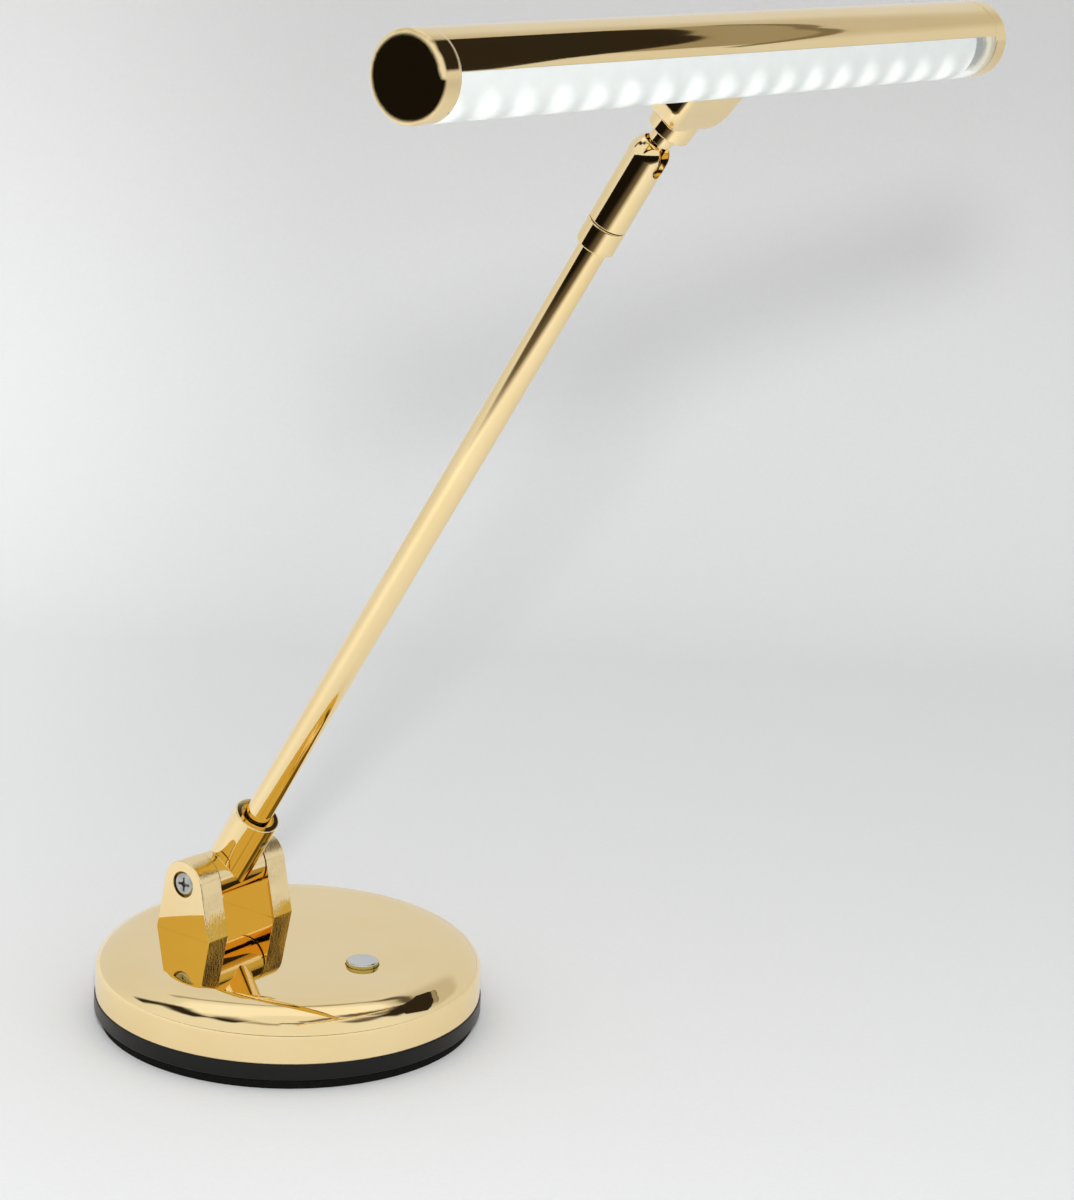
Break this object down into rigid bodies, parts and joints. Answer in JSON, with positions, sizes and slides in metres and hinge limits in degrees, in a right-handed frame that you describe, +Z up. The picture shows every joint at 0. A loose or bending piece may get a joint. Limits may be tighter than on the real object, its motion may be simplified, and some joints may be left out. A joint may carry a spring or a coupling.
{
  "type": "piano lamp",
  "caption": "Gold-plated piano lamp with a weighted round base, a tilting arm in a fork hinge, a slotted ball knuckle and a long tubular LED head",
  "frame": {"origin": "centre of the base pad's underside, where the lamp rests", "axes": "+Z up; +X along the fork's pivot screws and the lamp tube, to the right of someone who sits before the lamp's open side; the arm leans towards -Y"},
  "size_m": [0.3172, 0.262, 0.3861],
  "materials": {
    "gold_plate": "mirror-polished gold plating on brass",
    "black_foam": "dense black foam rubber",
    "black_plastic": "satin black moulded plastic",
    "cast_iron": "as cast",
    "chromed_steel": "polished chrome",
    "bright_steel": "nickel-plated",
    "zinc_steel": "bright zinc",
    "inlet_plastic": "moulded black, gloss",
    "green_board": "solder mask on fibreglass",
    "white_nylon": "natural nylon",
    "fibre": "vulcanised fibre",
    "frosted_acrylic": "clear extruded acrylic, lightly frosted inside",
    "aluminium_sheet": "mill finish",
    "white_board": "white solder mask",
    "led_phosphor": "phosphor under clear silicone",
    "brass_terminal": "bare pressed brass"
  },
  "bodies": {
    "base": {"base_pad": "black_foam", "base_cover": "black_plastic", "cover_screws": "zinc_steel", "base_weight": "cast_iron", "base_shell": "gold_plate", "left_ear": "gold_plate", "right_ear": "gold_plate", "ear_screws": "zinc_steel", "control_board": "green_board", "board_screws": "zinc_steel", "driver_parts": "black_plastic", "switch_body": "black_plastic", "button_guide": "white_nylon", "button_spring": "bright_steel", "power_inlet": "inlet_plastic", "inlet_nut": "zinc_steel"},
    "button": {"push_button": "chromed_steel", "switch_plunger": "white_nylon"},
    "arm": {"pivot_screws": "bright_steel", "friction_washers": "fibre", "hinge_block": "gold_plate", "grub_screw": "bright_steel", "rod": "gold_plate", "rod_collar": "gold_plate", "swivel_bolt": "zinc_steel", "swivel_washer": "zinc_steel"},
    "knuckle": {"knuckle": "gold_plate", "ball_seat": "white_nylon", "ball_spring": "bright_steel"},
    "stem": {"ball_stem": "gold_plate", "stem_nut": "zinc_steel"},
    "head": {"saddle": "gold_plate", "saddle_screws": "zinc_steel", "lamp_housing": "gold_plate", "light_cover": "frosted_acrylic", "led_tray": "aluminium_sheet", "led_board": "white_board", "led_chips": "led_phosphor", "wire_terminal": "brass_terminal", "left_cap": "gold_plate", "right_cap": "gold_plate"}
  },
  "joints": [
    {"name": "arm_tilt", "type": "hinge", "parent": "base", "child": "arm", "pos_m": [0, 0.033, 0.0492], "axis": [1, 0, 0], "range_deg": [-60, 45]},
    {"name": "knuckle_swivel", "type": "hinge", "parent": "arm", "child": "knuckle", "pos_m": [0, -0.14553, 0.33714], "axis": [0, -0.527, 0.8499], "range_deg": [-170, 170]},
    {"name": "ball_tilt", "type": "hinge", "parent": "knuckle", "child": "stem", "pos_m": [0, -0.14553, 0.33714], "axis": [1, 0, 0], "range_deg": [-16, 82]},
    {"name": "head_twist", "type": "hinge", "parent": "stem", "child": "head", "pos_m": [0, -0.14553, 0.33714], "axis": [0, -0.6334, 0.7738], "range_deg": [-150, 150]},
    {"name": "button_press", "type": "slide", "parent": "base", "child": "button", "axis": [0, 0, -1], "range_m": [0, 0.0015], "stiffness_N_per_m": 900, "springref_m": -0.0008, "deforming": ["button_spring"]}
  ]
}
